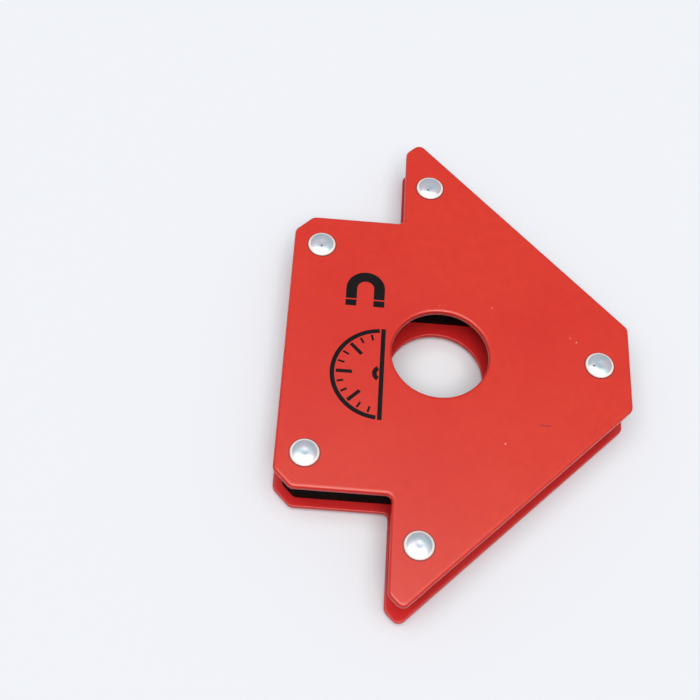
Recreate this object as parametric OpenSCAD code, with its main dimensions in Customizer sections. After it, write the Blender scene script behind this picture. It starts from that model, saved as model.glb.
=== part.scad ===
// Arrow-shaped magnetic holder for setting up welds at 45, 90 and 135 degrees.
// Two steel pole plates are riveted over a moulded carrier that holds ferrite blocks.
// X runs from the stem to the tip, Y across the head, Z up from the rivet tails.

/* [Plate outline] */
// Length of the head from its back edge to the flat tip
head_len = 52.5; // [50:0.5:54]
// Half height of the head where its two long edges would meet the line of its back edge
head_half = 63; // [62:0.5:65]
// Height on the back edge at which the head's corner is cut off
head_cut = 56.7; // [55:0.1:58]
// Length of the stem behind the head
stem_len = 25.5; // [25:0.5:28]
// Width of the stem
stem_w = 70; // [69:0.5:72]
// Size of the 45 degree cut on the stem's corners
stem_cut = 4; // [3:0.5:5]
// Radius on the outer corners
corner_r = 1.8; // [1:0.1:2]
// Radius in the two inner corners beside the stem
notch_r = 1.3; // [0.8:0.1:1.8]

/* [Centre hole] */
// Diameter of the hole through both plates
hole_d = 22; // [18:0.5:24]
// Distance of the hole's axis from the head's back edge
hole_x = 9.5; // [9:0.1:10]

/* [Stack] */
// Thickness of each steel plate
plate_t = 1.5; // [1.2:0.1:2.5]
// Gap between the two plates
gap = 9; // [7:0.5:10]

/* [Rivets] */
// Diameter of a rivet's shank
shank_d = 4; // [3.2:0.1:4.2]
// Diameter of a rivet's domed head and of its squeezed tail
rivet_head_d = 6.4; // [6:0.1:7]
// Height of a rivet's domed head
head_h = 0.9; // [0.6:0.1:1.4]
// Height of a rivet's squeezed tail, on which the holder rests
tail_h = 0.9; // [0.6:0.1:1.4]
// Outer diameter of the spacer tube round each shank
spacer_d = 7; // [6:0.1:7.2]

/* [Magnets] */
// Width of every ferrite block
magnet_w = 15; // [13:0.5:15]
// Length of each of the four blocks behind the long edges
edge_magnet_len = 22.5; // [18:0.5:22.5]
// Length of each of the two blocks at the stem's sides
side_magnet_len = 18; // [14:0.5:18]
// Length of the block across the stem
stem_magnet_len = 27; // [20:0.5:27]

/* [Carrier] */
// Distance from the plates' edge in to the carrier's edge
recess = 2; // [1.5:0.1:2.2]
// Side of the square window that leaves the centre hole clear
window = 28; // [27:0.5:28]

/* [Hidden] */
$fn = 64;
arc_steps = 8;          // straight pieces in each rounded corner
shank_clear = 0.1;      // air round a shank, all round
tube_clear = 0.05;      // air round a spacer tube in the carrier
pocket_clear = 0.2;     // air round a magnet in its pocket
magnet_edge_r = 0.8;    // small radius on the blocks' upright edges
magnet_rib = 1.6;       // carrier wall between the two blocks behind a long edge
open_end = 2;           // how far an open pocket's cutter runs past the block
window_r = 2;
carrier_corner_cut = 5; // how much shorter than the plates the carrier ends in the head's corners
dome_steps = 12;        // straight pieces from a rivet's rim to the middle of its dome
tail_flat_d = 4.8;      // flat end of a squeezed tail
tail_slope = 0.35;      // share of the tail's height that slopes in to the flat end
over = 1;               // how far a cutter runs past each face that it cuts
x_mid = (head_len - stem_len) / 2;
z_rear = tail_h;
z_gap = z_rear + plate_t;
z_front = z_gap + gap;
z_top = z_front + plate_t;

// Rivet axes: [distance from the head's back edge, height]
tip_inset = 7.1;   // from the flat tip to the tip rivet
head_inset = 6;    // from the head's back edge to the head rivets
head_drop = 17;    // from the head's half height down to the head rivets
stem_inset = 6.5;  // from the stem's end to the stem rivets
stem_drop = 8;     // from the stem's sides to the stem rivets
rivet_tip_at = [head_len - tip_inset, 0];
rivet_head_at = [head_inset, head_half - head_drop];
rivet_stem_at = [stem_inset - stem_len, stem_w / 2 - stem_drop];
rivet_axes = [
    rivet_tip_at,
    rivet_head_at,
    [rivet_head_at.x, -rivet_head_at.y],
    rivet_stem_at,
    [rivet_stem_at.x, -rivet_stem_at.y]
];

// Magnet places: [centre x, centre y, length, turn, how far the pocket runs past the outer face].
// The pockets behind the long edges and across the stem are open to the carrier's edge.
edge_out = head_half / sqrt(2) - recess - magnet_w / 2;
edge_step = (edge_magnet_len + magnet_rib) / 2;
edge_shift = 1;    // how far the pair sits towards the tip
side_reach = 4.6;  // how far the side blocks reach into the head
side_drop = 12;    // from the stem's sides to the side blocks' middle
function edge_spot(along) = [(edge_out + along) / sqrt(2), (edge_out - along) / sqrt(2)];
edge_head_at = edge_spot(edge_shift - edge_step);
edge_tip_at = edge_spot(edge_shift + edge_step);
side_at = [side_reach - side_magnet_len / 2, stem_w / 2 - side_drop];
stem_at = [recess - stem_len + magnet_w / 2, 0];
magnet_places = [
    [edge_head_at.x, edge_head_at.y, edge_magnet_len, -45, open_end],
    [edge_tip_at.x, edge_tip_at.y, edge_magnet_len, -45, open_end],
    [edge_head_at.x, -edge_head_at.y, edge_magnet_len, -135, open_end],
    [edge_tip_at.x, -edge_tip_at.y, edge_magnet_len, -135, open_end],
    [side_at.x, side_at.y, side_magnet_len, 0, pocket_clear],
    [side_at.x, -side_at.y, side_magnet_len, 180, pocket_clear],
    [stem_at.x, stem_at.y, stem_magnet_len, 90, open_end]
];

function unit(v) = v / norm(v);

// Points of the arc of radius r that rounds corner b between its neighbours a and c.
function corner_arc(a, b, c, r) =
    let (
        u = unit(a - b),
        v = unit(c - b),
        half = acos(u * v) / 2,
        centre = b + unit(u + v) * r / sin(half),
        from = b + u * r / tan(half) - centre,
        turn = sign(u.x * v.y - u.y * v.x) * (2 * half - 180)
    )
    [for (i = [0 : arc_steps])
        let (t = turn * i / arc_steps)
        centre + [from.x * cos(t) - from.y * sin(t), from.x * sin(t) + from.y * cos(t)]];

// A closed outline with rounded corners, from corners given as [x, y, radius].
function rounded(corners) =
    let (n = len(corners), flat = [for (c = corners) [c.x, c.y]])
    [for (i = [0 : n - 1])
        each corner_arc(flat[(i + n - 1) % n], flat[i], flat[(i + 1) % n], corners[i][2])];

// Corners on the +Y side of the holder's outline, moved in by inset; the head's corner by cut more.
function half_corners(inset, cut, outer_r, inner_r) =
    let (
        back = inset - stem_len,
        side = stem_w / 2 - inset,
        stem_line = stem_w / 2 + stem_len - stem_cut - inset * sqrt(2),
        head_line = head_cut - inset * sqrt(2) - cut,
        long_line = head_half - inset * sqrt(2),
        tip = head_len - inset
    )
    [
        [back, back + stem_line, outer_r],
        [side - stem_line, side, outer_r],
        [inset, side, inner_r],
        [inset, inset + head_line, outer_r],
        [(long_line - head_line) / 2, (long_line + head_line) / 2, outer_r],
        [tip, long_line - tip, outer_r]
    ];

module outline(inset, cut, outer_r, inner_r) {
    upper = half_corners(inset, cut, outer_r, inner_r);
    lower = [for (i = [len(upper) - 1 : -1 : 0]) [upper[i].x, -upper[i].y, upper[i][2]]];
    polygon(rounded(concat(upper, lower)));
}

// Moves children from the head's back edge to the middle of the holder's length.
module placed(z) {
    translate([-x_mid, 0, z]) children();
}

module plate(z) {
    placed(z) difference() {
        linear_extrude(plate_t) outline(0, 0, corner_r, notch_r);
        translate([hole_x, 0, -over]) cylinder(d = hole_d, h = plate_t + 2 * over);
        for (at = rivet_axes)
            translate([at.x, at.y, -over]) cylinder(d = shank_d + 2 * shank_clear, h = plate_t + 2 * over);
    }
}

module front_plate() {
    color("#dc4138") plate(z_front);
}

module rear_plate() {
    color("#c93a33") plate(z_rear);
}

// A rectangle with rounded corners, centred on X, from y = low to y = high.
module soft_rectangle(width, low, high, r) {
    x = width / 2;
    polygon(rounded([[-x, low, r], [x, low, r], [x, high, r], [-x, high, r]]));
}

module magnet_carrier() {
    color("#1d1d20") placed(z_gap) linear_extrude(gap) difference() {
        outline(recess, carrier_corner_cut, corner_r, notch_r);
        translate([hole_x, 0]) soft_rectangle(window, -window / 2, window / 2, window_r);
        for (m = magnet_places)
            translate([m.x, m.y]) rotate(m[3]) soft_rectangle(
                m[2] + 2 * pocket_clear, -magnet_w / 2 - pocket_clear, magnet_w / 2 + m[4], magnet_edge_r
            );
        for (at = rivet_axes)
            translate([at.x, at.y]) circle(d = spacer_d + 2 * tube_clear);
    }
}

module magnet(i) {
    m = magnet_places[i];
    color("#3a3a3e") placed(z_gap) translate([m.x, m.y, 0]) rotate(m[3])
        linear_extrude(gap) soft_rectangle(m[2], -magnet_w / 2, magnet_w / 2, magnet_edge_r);
}

module edge_magnet_left_head() { magnet(0); }
module edge_magnet_left_tip() { magnet(1); }
module edge_magnet_right_head() { magnet(2); }
module edge_magnet_right_tip() { magnet(3); }
module side_magnet_left() { magnet(4); }
module side_magnet_right() { magnet(5); }
module stem_magnet() { magnet(6); }

module spacer(i) {
    at = rivet_axes[i];
    color("#b9bcc0") placed(z_gap) translate([at.x, at.y, 0]) difference() {
        cylinder(d = spacer_d, h = gap);
        translate([0, 0, -over]) cylinder(d = shank_d + 2 * shank_clear, h = gap + 2 * over);
    }
}

module spacer_tip() { spacer(0); }
module spacer_head_left() { spacer(1); }
module spacer_head_right() { spacer(2); }
module spacer_stem_left() { spacer(3); }
module spacer_stem_right() { spacer(4); }

// Domed head above the front plate, plain shank, and a squeezed tail under the rear plate.
module rivet(i) {
    at = rivet_axes[i];
    r = rivet_head_d / 2;
    dome_r = (r * r + head_h * head_h) / (2 * head_h);
    dome = [for (k = [0 : dome_steps])
        let (a = asin(r / dome_r) * (1 - k / dome_steps))
        [dome_r * sin(a), z_top + head_h - dome_r + dome_r * cos(a)]];
    color("#cfd6dc") placed(0) translate([at.x, at.y, 0]) rotate_extrude() polygon(concat(
        [[0, 0], [tail_flat_d / 2, 0], [r, tail_h * tail_slope], [r, tail_h],
         [shank_d / 2, tail_h], [shank_d / 2, z_top]],
        dome
    ));
}

module rivet_tip() { rivet(0); }
module rivet_head_left() { rivet(1); }
module rivet_head_right() { rivet(2); }
module rivet_stem_left() { rivet(3); }
module rivet_stem_right() { rivet(4); }

front_plate();
rear_plate();
magnet_carrier();
edge_magnet_left_head();
edge_magnet_left_tip();
edge_magnet_right_head();
edge_magnet_right_tip();
side_magnet_left();
side_magnet_right();
stem_magnet();
spacer_tip();
spacer_head_left();
spacer_head_right();
spacer_stem_left();
spacer_stem_right();
rivet_tip();
rivet_head_left();
rivet_head_right();
rivet_stem_left();
rivet_stem_right();
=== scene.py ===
# Arrow-shaped welding magnet: two red steel plates riveted over a black carrier with ferrite blocks
import math
import random

import bmesh
import bpy
from mathutils import Matrix, Vector


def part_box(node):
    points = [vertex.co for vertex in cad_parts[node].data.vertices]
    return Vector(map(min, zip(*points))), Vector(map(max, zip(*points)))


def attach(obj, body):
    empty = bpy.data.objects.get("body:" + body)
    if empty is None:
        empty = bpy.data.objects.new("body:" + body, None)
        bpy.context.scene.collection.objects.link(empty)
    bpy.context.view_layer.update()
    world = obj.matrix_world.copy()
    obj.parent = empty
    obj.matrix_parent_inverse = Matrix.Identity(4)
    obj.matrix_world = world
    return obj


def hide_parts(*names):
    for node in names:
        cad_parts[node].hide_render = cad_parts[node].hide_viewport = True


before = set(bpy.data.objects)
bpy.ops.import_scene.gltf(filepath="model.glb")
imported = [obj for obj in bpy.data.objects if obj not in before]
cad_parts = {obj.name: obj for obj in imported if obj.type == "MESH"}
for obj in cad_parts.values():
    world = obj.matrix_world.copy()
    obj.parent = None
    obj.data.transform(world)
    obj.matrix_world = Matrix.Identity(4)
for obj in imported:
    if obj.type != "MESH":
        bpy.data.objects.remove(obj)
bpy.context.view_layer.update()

mm = 0.001
hair = 0.001 * mm    # points closer than this are one point
up = (0, 0, 1)
scene = bpy.context.scene
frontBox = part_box("front_plate")
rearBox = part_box("rear_plate")
rivetNames = ["rivet_tip", "rivet_head_left", "rivet_head_right", "rivet_stem_left",
              "rivet_stem_right"]


def boxCentre(node):
    low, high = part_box(node)
    return (low + high) / 2


rivetCentres = {name: boxCentre(name) for name in rivetNames}


def newPiece(name, bm, materials, sharpAngle=35):
    mesh = bpy.data.meshes.new(name)
    for face in bm.faces:
        face.smooth = True
    bm.to_mesh(mesh)
    bm.free()
    for material in materials:
        mesh.materials.append(material)
    mesh.set_sharp_from_angle(angle=math.radians(sharpAngle))
    piece = bpy.data.objects.new(name, mesh)
    scene.collection.objects.link(piece)
    return piece


def addRoundedLoop(bm, corners, z, steps):
    # corners are (x, y, radius, turn in degrees); what stays is a loop of edges without a face
    verts = [bm.verts.new((x, y, z)) for x, y, radius, turn in corners]
    bm.faces.new(verts)
    offsets = [radius * math.tan(math.radians(turn) / 2) for x, y, radius, turn in corners]
    for offset in sorted(set(offsets)):
        group = [vert for vert, own in zip(verts, offsets) if own == offset]
        bmesh.ops.bevel(bm, geom=group, offset=offset, offset_type="OFFSET", segments=steps,
                        profile=0.5, affect="VERTICES", material=-1)
    bmesh.ops.delete(bm, geom=bm.faces[:], context="FACES_ONLY")


def addCircle(bm, x, y, z, radius, steps):
    bmesh.ops.create_circle(bm, cap_ends=False, segments=steps, radius=radius,
                            matrix=Matrix.Translation((x, y, z)))


def rollRims(bm, side, radius, steps, flat):
    # quarter-round edges on every open rim of the walls, then a flat ring that keeps the shading of
    # the face even, then the face itself; side is 1 for the upper face and -1 for the lower one
    rim = [edge for edge in bm.edges if edge.is_boundary]
    inward = {}
    for vert in {vert for edge in rim for vert in edge.verts}:
        outward = sum((face.normal for face in vert.link_faces), Vector())
        inward[vert] = (vert.co.copy(), outward * (-2 / outward.length_squared))
    profile = []
    for step in range(1, steps + 1):
        angle = math.pi / 2 * step / steps
        profile.append((radius * (1 - math.cos(angle)), radius * math.sin(angle)))
    profile.append((radius + flat, radius))
    for inset, lift in profile:
        grown = bmesh.ops.extrude_edge_only(bm, edges=rim)["geom"]
        added = {part for part in grown if isinstance(part, bmesh.types.BMVert)}
        rim = [edge for edge in bm.edges if added.issuperset(edge.verts)]
        moved = {}
        for vert in added:
            below = next(edge.other_vert(vert) for edge in vert.link_edges if edge not in rim
                         and edge.other_vert(vert) in inward)
            start, direction = inward[below]
            vert.co = start + direction * inset + Vector((0, 0, side * lift))
            moved[vert] = inward[below]
        inward = moved
    bmesh.ops.triangle_fill(bm, use_beauty=True, use_dissolve=False, edges=rim, normal=(0, 0, side))


def raiseSlab(bm, low, high, lowRoll, highRoll, steps, flat):
    # the loops lie at low + lowRoll; the walls rise from there, and both rims are rolled over
    bmesh.ops.triangle_fill(bm, use_beauty=True, use_dissolve=False, edges=bm.edges[:], normal=up)
    grown = bmesh.ops.extrude_face_region(bm, geom=bm.faces[:])["geom"]
    topVerts = [part for part in grown if isinstance(part, bmesh.types.BMVert)]
    bmesh.ops.translate(bm, verts=topVerts, vec=(0, 0, high - highRoll - low - lowRoll))
    bmesh.ops.recalc_face_normals(bm, faces=bm.faces[:])
    bm.normal_update()
    for side, radius in ((1, highRoll), (-1, lowRoll)):
        # the flat end is made of triangles, while the walls and rolled rims are quads
        ends = [face for face in bm.faces if side * face.normal.z > 0.9 and len(face.verts) == 3]
        bmesh.ops.delete(bm, geom=ends, context="FACES")
        rollRims(bm, side, radius, steps, flat)
    bmesh.ops.recalc_face_normals(bm, faces=bm.faces[:])
    bm.normal_update()


def rise(edge):
    # how far an edge climbs: nothing for an edge of a rim, and the full height for an upright one
    return abs(edge.verts[0].co.z - edge.verts[1].co.z)


def spinProfile(bm, points, centre, steps):
    # points are (radius, height) in millimetres from one end of the axis to the other
    verts = [bm.verts.new((centre.x + r * mm, centre.y, z)) for r, z in points]
    edges = [bm.edges.new(pair) for pair in zip(verts, verts[1:])]
    bmesh.ops.spin(bm, geom=verts + edges, cent=(centre.x, centre.y, 0), axis=up, dvec=(0, 0, 0),
                   angle=2 * math.pi, steps=steps, use_merge=True, use_duplicate=False)
    bmesh.ops.remove_doubles(bm, verts=bm.verts[:], dist=hair)
    bmesh.ops.recalc_face_normals(bm, faces=bm.faces[:])


class Finish:
    # a Principled material whose nodes read Object coordinates
    def __init__(self, name, color, roughness, metallic=0.0, specular=0.5, coat=0.0, coatRoughness=0.1):
        self.material = bpy.data.materials.new(name)
        self.material.use_nodes = True
        self.nodes = self.material.node_tree.nodes
        self.links = self.material.node_tree.links
        self.shader = self.nodes["Principled BSDF"]
        self.shader.inputs["Base Color"].default_value = (*color, 1)
        self.shader.inputs["Roughness"].default_value = roughness
        self.shader.inputs["Metallic"].default_value = metallic
        self.shader.inputs["Specular IOR Level"].default_value = specular
        self.shader.inputs["Coat Weight"].default_value = coat
        self.shader.inputs["Coat Roughness"].default_value = coatRoughness
        self.place = self.nodes.new("ShaderNodeTexCoord").outputs["Object"]

    def stretched(self, scale):
        mapping = self.nodes.new("ShaderNodeMapping")
        mapping.inputs["Scale"].default_value = scale
        self.links.new(self.place, mapping.inputs["Vector"])
        return mapping.outputs["Vector"]

    def noise(self, size, detail=3.0, place=None, rough=0.5):
        # size is the width of one blotch in millimetres
        node = self.nodes.new("ShaderNodeTexNoise")
        node.inputs["Scale"].default_value = 1 / (size * mm)
        node.inputs["Detail"].default_value = detail
        node.inputs["Roughness"].default_value = rough
        self.links.new(place or self.place, node.inputs["Vector"])
        return node.outputs["Fac"]

    def cells(self, size, output="Distance"):
        node = self.nodes.new("ShaderNodeTexVoronoi")
        node.inputs["Scale"].default_value = 1 / (size * mm)
        self.links.new(self.place, node.inputs["Vector"])
        return node.outputs[output]

    def spot(self, place, radius, soft=0.6):
        # a dot whose outer share "soft" fades; place is (x, y, height over the front plate) in
        # millimetres
        node = self.nodes.new("ShaderNodeVectorMath")
        node.operation = "DISTANCE"
        node.inputs[1].default_value = (place[0] * mm, place[1] * mm, frontBox[1].z + place[2] * mm)
        self.links.new(self.place, node.inputs[0])
        return self.span(node.outputs["Value"], radius * mm, (1 - soft) * radius * mm)

    def span(self, value, low, high, start=0.0, end=1.0):
        node = self.nodes.new("ShaderNodeMapRange")
        node.inputs["From Min"].default_value = low
        node.inputs["From Max"].default_value = high
        node.inputs["To Min"].default_value = start
        node.inputs["To Max"].default_value = end
        self.links.new(value, node.inputs["Value"])
        return node.outputs["Result"]

    def times(self, first, second):
        node = self.nodes.new("ShaderNodeMath")
        node.operation = "MULTIPLY"
        self.links.new(first, node.inputs[0])
        self.links.new(second, node.inputs[1])
        return node.outputs["Value"]

    def blendColor(self, factor, first, second):
        # first and second are colours or sockets that give one
        node = self.nodes.new("ShaderNodeMix")
        node.data_type = "RGBA"
        self.links.new(factor, node.inputs["Factor"])
        for index, value in ((6, first), (7, second)):
            if isinstance(value, tuple):
                node.inputs[index].default_value = (*value, 1)
            else:
                self.links.new(value, node.inputs[index])
        return node.outputs[2]

    def setColor(self, socket):
        self.links.new(socket, self.shader.inputs["Base Color"])

    def setRoughness(self, socket):
        self.links.new(socket, self.shader.inputs["Roughness"])

    def addBump(self, height, distance, strength=1.0):
        # distance is the full height in millimetres; each call stands on the one before
        node = self.nodes.new("ShaderNodeBump")
        node.inputs["Distance"].default_value = distance * mm
        node.inputs["Strength"].default_value = strength
        self.links.new(height, node.inputs["Height"])
        normal = self.shader.inputs["Normal"]
        if normal.is_linked:
            self.links.new(normal.links[0].from_socket, node.inputs["Normal"])
        self.links.new(node.outputs["Normal"], normal)


# places are in millimetres; the roll is in degrees and the near clip in metres
camera = {
    "eye": (-30.05, -138.18, 248.51),
    "target": (-23.98, 6.53, 0),
    "roll": 6.54,
    "lens": 62.78,
    "sensorWidth": 36,
    "nearClip": 0.01,
}
eye = Vector(camera["eye"]) * mm
target = Vector(camera["target"]) * mm
cameraData = bpy.data.cameras.new("camera")
cameraData.lens = camera["lens"]
cameraData.sensor_width = camera["sensorWidth"]
cameraData.clip_start = camera["nearClip"]
cameraObject = bpy.data.objects.new("camera", cameraData)
aim = (target - eye).to_track_quat("-Z", "Y").to_matrix().to_4x4()
cameraObject.matrix_world = (Matrix.Translation(eye) @ aim
                             @ Matrix.Rotation(math.radians(camera["roll"]), 4, "Z"))
scene.collection.objects.link(cameraObject)
scene.camera = cameraObject
scene.view_settings.view_transform = "Standard"
print("camera ready")


# tones, then the finish; depths, sizes and radii are in millimetres
redCoat = {
    "color": (0.62, 0.021, 0.009),
    "warm": (0.65, 0.029, 0.011),
    "deep": (0.54, 0.013, 0.010),
    # edge: the walls' darker tone, a painted shade on the upright faces
    "edge": (0.48, 0.015, 0.018),
    # rear and rearDeep: the rear plate's paint in a bluer crimson, a painted shade hue
    "rear": (0.64, 0.019, 0.020),
    "rearDeep": (0.56, 0.014, 0.018),
    # pale specks: dust on the faces, and painted glints where the specks are dense on the walls
    "dustAndGlint": (0.88, 0.34, 0.28),
    "scuff": (0.44, 0.016, 0.021),
    # painted shade: a dark ring just wider than each rivet head, where the head meets the plate
    "paintedRivetShade": (0.16, 0.008, 0.009),
    "paintedRivetShadeRadius": 3.52,
    "paintedRivetShadeSoft": 0.06,
    "roughness": (0.29, 0.32),
    "coat": 0.6,
    "coatRoughness": 0.28,
    "peel": 0.006,
    "driftSize": 28,
    "fineSize": 2.2,
    "peelSize": 1.1,
    "grainSize": 0.28,
    "patchSize": 6,
}
# gloss runs from 0 to 1; the darkening share adds to the share of the third tone, and on the walls that
# darkening is a painted shade; specks lie speckSpacing apart
coatKinds = {
    "red_powder_coat": {
        "tones": ("color", "warm", "deep"),
        "paintedShadeShare": 0.0,
        "grain": 0.004,
        "gloss": 1.0,
        "speckSpacing": 7,
        "speckReach": 0.035,
    },
    # the walls: a darker tone as painted shade, a coarser grain, and dense light specks as painted
    # glints
    "red_powder_coat_edge_painted_shade_and_glints": {
        "tones": ("color", "warm", "edge"),
        "paintedShadeShare": 1.2,
        "grain": 0.05,
        "gloss": 0.1,
        "speckSpacing": 1.3,
        "speckReach": 0.13,
    },
    # the rear plate: the same paint in a bluer crimson, a painted shade hue
    "red_powder_coat_rear": {
        "tones": ("rear", "rear", "rearDeep"),
        "paintedShadeShare": 0.0,
        "grain": 0.004,
        "gloss": 1.0,
        "speckSpacing": 7,
        "speckReach": 0.035,
    },
}
# small marks on the front plate: (x, y, height over the plate) and radius, in millimetres
coatMarks = {
    "dustAndGlint": [((10.5, -21.3, 0), 0.26), ((26.9, 5.6, 0), 0.22), ((25.5, 6.6, 0), 0.16),
             ((-4.4, 12.6, 0), 0.14)],
    "scuffs": [((18.2 + 0.35 * step, -16.2, 0), 0.32) for step in range(7)]
              + [((-20.2, -12.6, 0), 0.22)],
}


def makeRedCoat(name):
    # satin powder coat: soft orange peel, slow drifts of colour, sparse dust specks (dense painted
    # glints on the walls), and a dark ring of painted shade round each rivet head
    kind = coatKinds[name]
    color, warm, deep = [redCoat[tone] for tone in kind["tones"]]
    finish = Finish(name, color, 0.4, specular=0.15 + 0.35 * kind["gloss"],
                    coat=kind["gloss"] * redCoat["coat"], coatRoughness=redCoat["coatRoughness"])
    drift = finish.span(finish.noise(redCoat["driftSize"], 2), 0.35, 0.65)
    tone = finish.blendColor(drift, color, warm)
    # on the walls this pushes the colour to the third tone, a painted shade
    fine = finish.span(finish.noise(redCoat["fineSize"], 4), 0.35, 0.75, 0.0, 0.35 + kind["paintedShadeShare"])
    tone = finish.blendColor(fine, tone, deep)
    # sparse pale specks are dust; the walls' dense ones are painted glints
    luck = finish.cells(kind["speckSpacing"], "Color")
    reach = kind["speckReach"]
    dots = finish.span(finish.cells(kind["speckSpacing"]), reach, 0.6 * reach)
    dustAndGlintSpecks = finish.times(dots, finish.span(luck, 0.62, 0.66))
    tone = finish.blendColor(dustAndGlintSpecks, tone, redCoat["dustAndGlint"])
    for place, radius in coatMarks["dustAndGlint"]:
        tone = finish.blendColor(finish.spot(place, radius), tone, redCoat["dustAndGlint"])
    for place, radius in coatMarks["scuffs"]:
        tone = finish.blendColor(finish.spot(place, radius), tone, redCoat["scuff"])
    # painted shade round each rivet head on the front plate's face
    for centre in rivetCentres.values():
        place = (centre.x / mm, centre.y / mm, 0)
        paintedRivetShadeRing = finish.spot(place, redCoat["paintedRivetShadeRadius"], redCoat["paintedRivetShadeSoft"])
        tone = finish.blendColor(paintedRivetShadeRing, tone, redCoat["paintedRivetShade"])
    finish.setColor(tone)
    patches = finish.noise(redCoat["patchSize"], 3)
    finish.setRoughness(finish.span(patches, 0.3, 0.7, *redCoat["roughness"]))
    finish.addBump(finish.noise(redCoat["peelSize"], 2), redCoat["peel"])
    finish.addBump(finish.noise(redCoat["grainSize"], 3), kind["grain"])
    return finish.material


redFace = makeRedCoat("red_powder_coat")
redWallPaintedShadeAndGlints = makeRedCoat("red_powder_coat_edge_painted_shade_and_glints")
redRearPaintedShade = makeRedCoat("red_powder_coat_rear")


# cool and warm are the two tones that the plating drifts between
zincKinds = {
    "zinc_plating": {
        "roughness": (0.26, 0.32),
        "metallic": 0.66,
        "cool": (0.62, 0.85, 0.97),
        "warm": (0.90, 0.84, 0.98),
    },
    # the rim: a near-white, pinkish, barely metallic copy of the plating that paints the reflection of
    # the bright surroundings
    "zinc_plating_rim_painted_reflection": {
        "roughness": (0.5, 0.65),
        "metallic": 0.2,
        "cool": (0.95, 0.88, 0.88),
        "warm": (0.97, 0.84, 0.84),
    },
}
# dark dots near the tops of three of the rivets' heads: (x, y, height over the plate) and radius, in
# millimetres
zincDarkDots = {
    "color": (0.16, 0.2, 0.3),
    "places": [((-8.0, 44.9, 0.83), 0.36), ((-32.5, 26.1, 0.87), 0.36), ((30.5, -0.6, 0.81), 0.4)],
}


def makeZinc(name):
    # bright plating with blotches of two tones, a few dark dots and a faint unevenness; the rim's kind
    # is a near-white copy that paints the reflection of the bright surroundings
    kind = zincKinds[name]
    finish = Finish(name, kind["cool"], 0.3, metallic=kind["metallic"])
    blotch = finish.span(finish.noise(2.0, 3), 0.35, 0.65)
    tone = finish.blendColor(blotch, kind["cool"], kind["warm"])
    for place, radius in zincDarkDots["places"]:
        tone = finish.blendColor(finish.spot(place, radius), tone, zincDarkDots["color"])
    finish.setColor(tone)
    finish.setRoughness(finish.span(finish.noise(1.2, 3), 0.3, 0.7, *kind["roughness"]))
    finish.addBump(finish.noise(1.3, 2), 0.006)
    return finish.material


tube = {
    "dark": (0.42, 0.43, 0.45),
    "light": (0.6, 0.61, 0.62),
    "roughness": (0.28, 0.45),
    "markScale": (0.15, 0.15, 3),    # the turning marks run round the tube
    "markDepth": 0.01,
}


def makeTubeSteel():
    finish = Finish("tube_steel", tube["dark"], 0.35, metallic=1.0)
    turned = finish.noise(0.5, 3, finish.stretched(tube["markScale"]))
    finish.setColor(finish.blendColor(finish.span(turned, 0.35, 0.65), tube["dark"], tube["light"]))
    finish.setRoughness(finish.span(turned, 0.3, 0.7, *tube["roughness"]))
    finish.addBump(turned, tube["markDepth"])
    return finish.material


# dark is near black, darker than the nylon itself as a painted shade of the gap between the plates;
# light is the painted sheen of its patches
nylon = {
    "dark": (0.0015, 0.0015, 0.0016),
    "light": (0.003, 0.003, 0.0032),
    "roughness": (0.45, 0.62),
    "specular": 0.03,
    "sparkDepth": 0.015,
}


def makeBlackPlastic():
    # moulded nylon: matte, fine spark texture; its colour is darker than the nylon's own as a painted
    # shade of the gap between the plates, and slightly lighter patches are a painted sheen of polish
    finish = Finish("black_nylon_painted_gap_shade", nylon["dark"], 0.5, specular=nylon["specular"])
    patches = finish.span(finish.noise(5, 3), 0.4, 0.7)
    finish.setColor(finish.blendColor(patches, nylon["dark"], nylon["light"]))
    finish.setRoughness(finish.span(finish.noise(2, 3), 0.3, 0.7, *nylon["roughness"]))
    finish.addBump(finish.noise(0.25, 3), nylon["sparkDepth"])
    return finish.material


sinter = {
    "dark": (0.035, 0.035, 0.038),
    "light": (0.085, 0.085, 0.088),
    "roughness": (0.42, 0.72),
    "gritDepth": 0.03,
    "pitDepth": 0.08,
}


def makeFerrite():
    # sintered ferrite: charcoal, ground faces with grit and small pits
    finish = Finish("ferrite", sinter["dark"], 0.6)
    grit = finish.noise(0.35, 5, rough=0.7)
    finish.setColor(finish.blendColor(finish.span(grit, 0.35, 0.7), sinter["dark"], sinter["light"]))
    finish.setRoughness(finish.span(finish.noise(1.4, 3), 0.3, 0.7, *sinter["roughness"]))
    finish.addBump(grit, sinter["gritDepth"])
    finish.addBump(finish.span(finish.noise(2.5, 4), 0.6, 0.72), sinter["pitDepth"])
    return finish.material


printInk = {
    "color": (0.006, 0.005, 0.007),
    "worn": (0.12, 0.02, 0.018),
    "roughness": (0.36, 0.5),
    "specular": 0.15,
}


def makeInk():
    # pad-printed black, with pinholes where the coat below shows a little
    finish = Finish("black_print", printInk["color"], 0.42, specular=printInk["specular"])
    pinholes = finish.span(finish.noise(0.35, 2), 0.74, 0.78)
    finish.setColor(finish.blendColor(pinholes, printInk["color"], printInk["worn"]))
    finish.setRoughness(finish.span(finish.noise(1.5, 3), 0.3, 0.7, *printInk["roughness"]))
    finish.addBump(finish.noise(redCoat["peelSize"], 2), redCoat["peel"])
    return finish.material


zinc = makeZinc("zinc_plating")
zincRimPaintedReflection = makeZinc("zinc_plating_rim_painted_reflection")
tubeSteel = makeTubeSteel()
blackNylonPaintedGapShade = makeBlackPlastic()
ferrite = makeFerrite()
ink = makeInk()
print("finishes ready")


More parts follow.
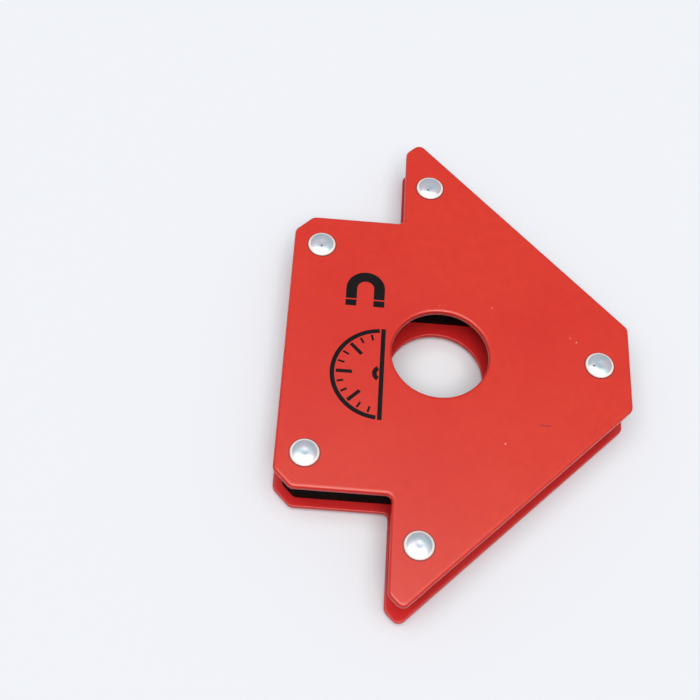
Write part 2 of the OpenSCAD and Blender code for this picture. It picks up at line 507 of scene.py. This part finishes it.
# the outline in millimetres: lengths run from the head's back edge, half widths from the middle
plate = {
    "stemLength": 25.5,
    "stemHalf": 35,
    "stemCut": 4,
    "headLength": 52.5,
    "headHalf": 63,
    "headCut": 56.7,
    "cornerRadius": 1.8,
    "notchRadius": 1.3,
    "holeRadius": 11,
    "holeX": 9.5,
    "rivetHoleRadius": 2.1,
    "rivetHoleSteps": 32,
    "outerRoll": 0.6,
    "innerRoll": 0.2,
    "rollSteps": 5,
    "rollFlat": 0.35,
    "cornerSteps": 8,
    "holeSteps": 128,
    "wallSlope": 0.5,
}
backX = frontBox[0].x + plate["stemLength"] * mm


def mirrored(half):
    return half + [(x, -y, radius, turn) for x, y, radius, turn in reversed(half)]


def placedCorners(corners):
    return [(backX + x * mm, y * mm, radius * mm, turn) for x, y, radius, turn in corners]


def makePlate(name, node, box, outerUp, coat):
    # the outer face has the wider roll on its edges; the walls get the darker finish, a painted shade
    # with painted glints
    p = plate
    corner = p["cornerRadius"]
    middle = (p["headHalf"] - p["headCut"]) / 2
    corners = placedCorners(mirrored([
        (-p["stemLength"], p["stemHalf"] - p["stemCut"], corner, 45),
        (p["stemCut"] - p["stemLength"], p["stemHalf"], corner, 45),
        (0, p["stemHalf"], p["notchRadius"], 90),
        (0, p["headCut"], corner, 45),
        (middle, middle + p["headCut"], corner, 90),
        (p["headLength"], p["headHalf"] - p["headLength"], corner, 45),
    ]))
    lowRoll, highRoll = p["innerRoll"], p["outerRoll"]
    if not outerUp:
        lowRoll, highRoll = highRoll, lowRoll
    z = box[0].z + lowRoll * mm
    bm = bmesh.new()
    addRoundedLoop(bm, corners, z, p["cornerSteps"])
    addCircle(bm, backX + p["holeX"] * mm, 0, z, p["holeRadius"] * mm, p["holeSteps"])
    for centre in rivetCentres.values():
        addCircle(bm, centre.x, centre.y, z, p["rivetHoleRadius"] * mm, p["rivetHoleSteps"])
    raiseSlab(bm, box[0].z, box[1].z, lowRoll * mm, highRoll * mm, p["rollSteps"], p["rollFlat"] * mm)
    # faces steeper than wallSlope take the walls' finish of painted shade and painted glints
    for face in bm.faces:
        face.material_index = 1 if abs(face.normal.z) < p["wallSlope"] else 0
    piece = newPiece(name, bm, [coat, redWallPaintedShadeAndGlints])
    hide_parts(node)
    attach(piece, "root")


makePlate("front_plate_coated", "front_plate", frontBox, True, redFace)
makePlate("rear_plate_coated", "rear_plate", rearBox, False, redRearPaintedShade)
print("plates ready")


# head and tail are (radius, height) over the front plate and over the tail's end, in millimetres
rivet = {
    "shankRadius": 2.0,
    "rimStart": 2.72,
    "steps": 64,
    "sharpAngle": 50,
    "head": [
        (0, 0.87), (0.3, 0.874), (0.6, 0.888), (0.9, 0.898), (1.3, 0.878), (1.7, 0.825), (2.1, 0.742),
        (2.45, 0.64), (2.7, 0.545), (2.88, 0.46), (3.0, 0.395), (3.1, 0.325), (3.17, 0.24), (3.2, 0.14),
        (3.19, 0.06), (3.15, 0),
    ],
    "tail": [
        (3.1, 0.9), (3.18, 0.86), (3.2, 0.75), (3.17, 0.55), (3.05, 0.36), (2.85, 0.2), (2.6, 0.08),
        (2.35, 0.01), (2.1, 0), (1.15, 0), (1.0, 0.03), (0.9, 0.1), (0.5, 0.13), (0, 0.14),
    ],
}


def makeRivet(node):
    centre = rivetCentres[node]
    topFace = frontBox[1].z
    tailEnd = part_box(node)[0].z
    points = [(r, topFace + z * mm) for r, z in rivet["head"]]
    points += [(rivet["shankRadius"], topFace), (rivet["shankRadius"], rearBox[0].z)]
    points += [(r, tailEnd + z * mm) for r, z in rivet["tail"]]
    bm = bmesh.new()
    spinProfile(bm, points, centre, rivet["steps"])
    for face in bm.faces:
        out = face.calc_center_median() - centre
        out.z = 0
        # faces past rimStart take the rim's painted reflection
        face.material_index = 1 if out.length > rivet["rimStart"] * mm else 0
    piece = newPiece(node + "_set", bm, [zinc, zincRimPaintedReflection], rivet["sharpAngle"])
    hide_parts(node)
    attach(piece, "root")


for node in rivetNames:
    makeRivet(node)
print("rivets ready")


# the printed mark is a horseshoe magnet above a plain protractor; ticks are (length, width)
mark = {
    "thickness": 0.03,
    "sunk": 0.05,
    "gap": 0.35,
    "magnetPlace": (-21.6, 15.6),
    "magnetRadius": 3.2,
    "magnetWidth": 2.5,
    "bowSteps": 24,
    "legLength": 2.8,
    "poleLength": 1.6,
    "dialPlace": (-17.0, -6.4),
    "dialRadius": 11.0,
    "dialLine": 1.0,
    "dialSteps": 48,
    "tickStep": 15,
    "shortTick": (1.5, 0.5),
    "longTick": (3.6, 0.85),
    "hubRadius": 2.1,
    "hubSteps": 16,
}


def markSlab(bm):
    # everything drawn so far at z = 0 is lifted onto the front plate and given its thickness
    grown = bmesh.ops.extrude_face_region(bm, geom=bm.faces[:])["geom"]
    raised = [part for part in grown if isinstance(part, bmesh.types.BMVert)]
    bmesh.ops.translate(bm, verts=raised, vec=(0, 0, (mark["thickness"] + mark["sunk"]) * mm))
    bmesh.ops.translate(bm, verts=bm.verts[:], vec=(0, 0, frontBox[1].z - mark["sunk"] * mm))
    bmesh.ops.recalc_face_normals(bm, faces=bm.faces[:])


def drawBar(bm, centre, length, width, turn, offset=(0, 0)):
    # a flat bar; offset moves it in its own direction before it is turned about the centre
    shape = (Matrix.Translation((centre[0] * mm, centre[1] * mm, 0))
             @ Matrix.Rotation(math.radians(turn), 4, "Z")
             @ Matrix.Translation((offset[0] * mm, offset[1] * mm, 0))
             @ Matrix.Diagonal((length * mm, width * mm, 1, 1)))
    bmesh.ops.create_grid(bm, x_segments=1, y_segments=1, size=0.5, matrix=shape)


def drawArc(bm, centre, radius, width, start, sweep, steps):
    # a flat band swept round the centre from a short edge
    turn = Matrix.Rotation(math.radians(start), 3, "Z")
    middle = Vector((centre[0] * mm, centre[1] * mm, 0))
    reaches = [(radius - width / 2) * mm, (radius + width / 2) * mm]
    ends = [bm.verts.new(middle + turn @ Vector((reach, 0, 0))) for reach in reaches]
    edge = bm.edges.new(ends)
    bmesh.ops.spin(bm, geom=ends + [edge], cent=middle, axis=up, dvec=(0, 0, 0),
                   angle=math.radians(sweep), steps=steps, use_merge=False, use_duplicate=False)


def finishMark(name, bm):
    markSlab(bm)
    piece = newPiece(name, bm, [ink])
    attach(piece, "root")


def makeMagnetSign():
    # the bow is on the +Y side; the two poles are set apart from the legs by a thin gap
    m = mark
    bm = bmesh.new()
    x, y = m["magnetPlace"]
    drawArc(bm, (x, y), m["magnetRadius"], m["magnetWidth"], 0, 180, m["bowSteps"])
    for side in (-1, 1):
        legX = x + side * m["magnetRadius"]
        drawBar(bm, (legX, y - m["legLength"] / 2), m["magnetWidth"], m["legLength"], 0)
        poleY = y - m["legLength"] - m["gap"] - m["poleLength"] / 2
        drawBar(bm, (legX, poleY), m["magnetWidth"], m["poleLength"], 0)
    bmesh.ops.remove_doubles(bm, verts=bm.verts[:], dist=hair)
    finishMark("magnet_sign", bm)


def makeProtractorSign():
    # half dial open to the stem: base line, rim, hub and a tick every 15 degrees, longer each 45
    m = mark
    bm = bmesh.new()
    place, radius, line = m["dialPlace"], m["dialRadius"], m["dialLine"]
    drawBar(bm, place, 2 * radius + line, line, 90)
    clear = math.degrees((line / 2 + m["gap"]) / radius)
    drawArc(bm, place, radius, line, 90 + clear, 180 - 2 * clear, m["dialSteps"])
    hubMiddle, hubWidth = m["hubRadius"] * 0.75, m["hubRadius"] * 0.5
    hubClear = math.degrees((line / 2 + m["gap"]) / hubMiddle)
    drawArc(bm, place, hubMiddle, hubWidth, 90 + hubClear, 180 - 2 * hubClear, m["hubSteps"])
    for turn in range(90 + m["tickStep"], 270, m["tickStep"]):
        length, width = m["longTick"] if turn % 45 == 0 else m["shortTick"]
        reach = radius - line / 2 - m["gap"] - length / 2
        drawBar(bm, place, length, width, turn, (reach, 0))
    finishMark("protractor_sign", bm)


makeMagnetSign()
makeProtractorSign()
print("mark ready")


carrier = {
    "softEdge": 0.22,
    "softSteps": 2,
    "partingDepth": 0.12,
    "partingHalf": 0.14,
    "rimAngle": 60,
    "flatAngle": 1,
}
magnets = {
    "width": 15,
    "edgeLength": 22.5,
    "sideLength": 18,
    "stemLength": 27,
    "cornerRadius": 0.8,
    "cornerSteps": 3,
    "softEdge": 0.35,
    "softSteps": 2,
    "chipChance": 0.75,
    "chipDepth": (0.35, 0.95),
    "chipSeed": 7,
}
# each magnet's length, and how far its outer face is turned from +Y in degrees
magnetPlaces = {
    "edge_magnet_left_head": (magnets["edgeLength"], -45),
    "edge_magnet_left_tip": (magnets["edgeLength"], -45),
    "edge_magnet_right_head": (magnets["edgeLength"], -135),
    "edge_magnet_right_tip": (magnets["edgeLength"], -135),
    "side_magnet_left": (magnets["sideLength"], 0),
    "side_magnet_right": (magnets["sideLength"], 180),
    "stem_magnet": (magnets["stemLength"], 90),
}
chance = random.Random(magnets["chipSeed"])


def chipCorners(bm, half):
    # small flat breaks on the corners of the outer face, which is the one on +Y
    for sideX in (-1, 1):
        for sideZ in (-1, 1):
            tilt = Vector((sideX * chance.uniform(0.5, 1), chance.uniform(0.4, 1),
                           sideZ * chance.uniform(0.5, 1)))
            depth = chance.uniform(*magnets["chipDepth"])
            if chance.random() > magnets["chipChance"]:
                continue
            tilt.normalize()
            corner = Vector((sideX * half.x, half.y, sideZ * half.z))
            place = (corner - tilt * depth) * mm
            bmesh.ops.bisect_plane(bm, geom=bm.verts[:] + bm.edges[:] + bm.faces[:], plane_co=place,
                                   plane_no=tilt, clear_outer=True)
            rim = [edge for edge in bm.edges if edge.is_boundary]
            bmesh.ops.holes_fill(bm, edges=rim, sides=0)


def makeMagnet(node):
    length, turn = magnetPlaces[node]
    low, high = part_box(node)
    bm = bmesh.new()
    bmesh.ops.create_cube(bm, size=1)
    bmesh.ops.scale(bm, vec=(length * mm, magnets["width"] * mm, high.z - low.z), verts=bm.verts[:])
    upright = [edge for edge in bm.edges if rise(edge) > hair]
    bmesh.ops.bevel(bm, geom=upright, offset=magnets["cornerRadius"] * mm, offset_type="OFFSET",
                    segments=magnets["cornerSteps"], profile=0.5, affect="EDGES", material=-1)
    rims = [edge for edge in bm.edges if rise(edge) < hair]
    bmesh.ops.bevel(bm, geom=rims, offset=magnets["softEdge"] * mm, offset_type="OFFSET",
                    segments=magnets["softSteps"], profile=0.5, affect="EDGES", material=-1)
    chipCorners(bm, Vector((length, magnets["width"], (high.z - low.z) / mm)) / 2)
    bmesh.ops.rotate(bm, verts=bm.verts[:], cent=(0, 0, 0),
                     matrix=Matrix.Rotation(math.radians(turn), 3, "Z"))
    bmesh.ops.translate(bm, verts=bm.verts[:], vec=boxCentre(node))
    piece = newPiece(node + "_block", bm, [ferrite])
    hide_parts(node)
    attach(piece, "root")


for node in magnetPlaces:
    makeMagnet(node)
print("magnets ready")


def makeCarrier():
    # the moulding keeps its shape and gains soft edges and a parting line at half height
    bm = bmesh.new()
    bm.from_mesh(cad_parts["magnet_carrier"].data)
    bmesh.ops.remove_doubles(bm, verts=bm.verts[:], dist=hair)
    bmesh.ops.dissolve_limit(bm, angle_limit=math.radians(carrier["flatAngle"]), verts=bm.verts[:],
                             edges=bm.edges[:])
    rims = [edge for edge in bm.edges if rise(edge) < hair and edge.is_manifold
            and edge.calc_face_angle() > math.radians(carrier["rimAngle"])]
    bmesh.ops.bevel(bm, geom=rims, offset=carrier["softEdge"] * mm, offset_type="OFFSET",
                    segments=carrier["softSteps"], profile=0.5, affect="EDGES", material=-1)
    half = boxCentre("magnet_carrier").z
    for step in (-1, 0, 1):
        level = half + step * carrier["partingHalf"] * mm
        bmesh.ops.bisect_plane(bm, geom=bm.verts[:] + bm.edges[:] + bm.faces[:],
                               plane_co=(0, 0, level), plane_no=up)
    bm.normal_update()
    for vert in bm.verts:
        if abs(vert.co.z - half) < hair:
            vert.co -= vert.normal * carrier["partingDepth"] * mm
    piece = newPiece("magnet_carrier_moulded", bm, [blackNylonPaintedGapShade])
    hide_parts("magnet_carrier")
    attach(piece, "root")


makeCarrier()
for name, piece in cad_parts.items():
    if name.startswith("spacer"):
        piece.data.materials.clear()
        piece.data.materials.append(tubeSteel)
print("carrier ready")


# each light's "from" points from the object to the light
studio = {
    "floorSize": 40.0,
    "floorColor": (0.75, 0.80, 0.90),
    "floorRoughness": 0.85,
    "floorSpecular": 0.2,
    "keyFrom": (-0.06, -0.155, 0.77),
    "keyAngle": 60,
    "keyPower": 2.33,
    "keyColor": (1.0, 0.93, 0.82),
    "frontFrom": (0.1, -0.5, 0.7),
    "frontAngle": 19,
    "frontPower": 0.46,
    "back": (0.22, 0.235, 0.26),
    "overhead": (0.62, 0.63, 0.65),
    "horizon": (0.12, 0.12, 0.125),
    "backdrop": (0.87, 0.895, 0.945),
    "skyRise": (0.4, 0.85),
    "backStart": (-0.15, 0.3),
}
bm = bmesh.new()
bmesh.ops.create_grid(bm, x_segments=2, y_segments=2, size=studio["floorSize"] / 2)
floorFinish = Finish("floor", studio["floorColor"], studio["floorRoughness"],
                     specular=studio["floorSpecular"])
floor = newPiece("floor", bm, [floorFinish.material])


def addLight(name, direction, angle, power, color):
    # a broad soft sun, so that the floor stays evenly pale to its far edge
    data = bpy.data.lights.new(name, "SUN")
    data.angle = math.radians(angle)
    data.energy = power
    data.color = color
    light = bpy.data.objects.new(name, data)
    light.matrix_world = (-Vector(direction)).to_track_quat("-Z", "Y").to_matrix().to_4x4()
    scene.collection.objects.link(light)


addLight("key", studio["keyFrom"], studio["keyAngle"], studio["keyPower"], studio["keyColor"])
addLight("front", studio["frontFrom"], studio["frontAngle"], studio["frontPower"], studio["keyColor"])

world = bpy.data.worlds.new("studio")
scene.world = world
world.use_nodes = True
worldNodes = world.node_tree.nodes
worldLinks = world.node_tree.links
direction = worldNodes.new("ShaderNodeTexCoord").outputs["Generated"]
split = worldNodes.new("ShaderNodeSeparateXYZ")
worldLinks.new(direction, split.inputs["Vector"])


def worldBlend(value, low, high, first, second):
    # runs from the first colour to the second while value runs from low to high; both may be sockets
    share = worldNodes.new("ShaderNodeMapRange")
    share.inputs["From Min"].default_value = low
    share.inputs["From Max"].default_value = high
    worldLinks.new(value, share.inputs["Value"])
    mix = worldNodes.new("ShaderNodeMix")
    mix.data_type = "RGBA"
    worldLinks.new(share.outputs["Result"], mix.inputs["Factor"])
    for index, tone in ((6, first), (7, second)):
        if isinstance(tone, tuple):
            mix.inputs[index].default_value = (*tone, 1)
        else:
            worldLinks.new(tone, mix.inputs[index])
    return mix.outputs[2]


frontSky = worldBlend(split.outputs["Z"], *studio["skyRise"], studio["horizon"], studio["overhead"])
sky = worldBlend(split.outputs["Y"], *studio["backStart"], frontSky, studio["back"])
# past the floor's far edge the view stays pale, whatever lights the object
seen = worldNodes.new("ShaderNodeLightPath").outputs["Is Camera Ray"]
sky = worldBlend(seen, 0, 1, sky, studio["backdrop"])
worldLinks.new(sky, worldNodes["Background"].inputs["Color"])
print("studio ready")
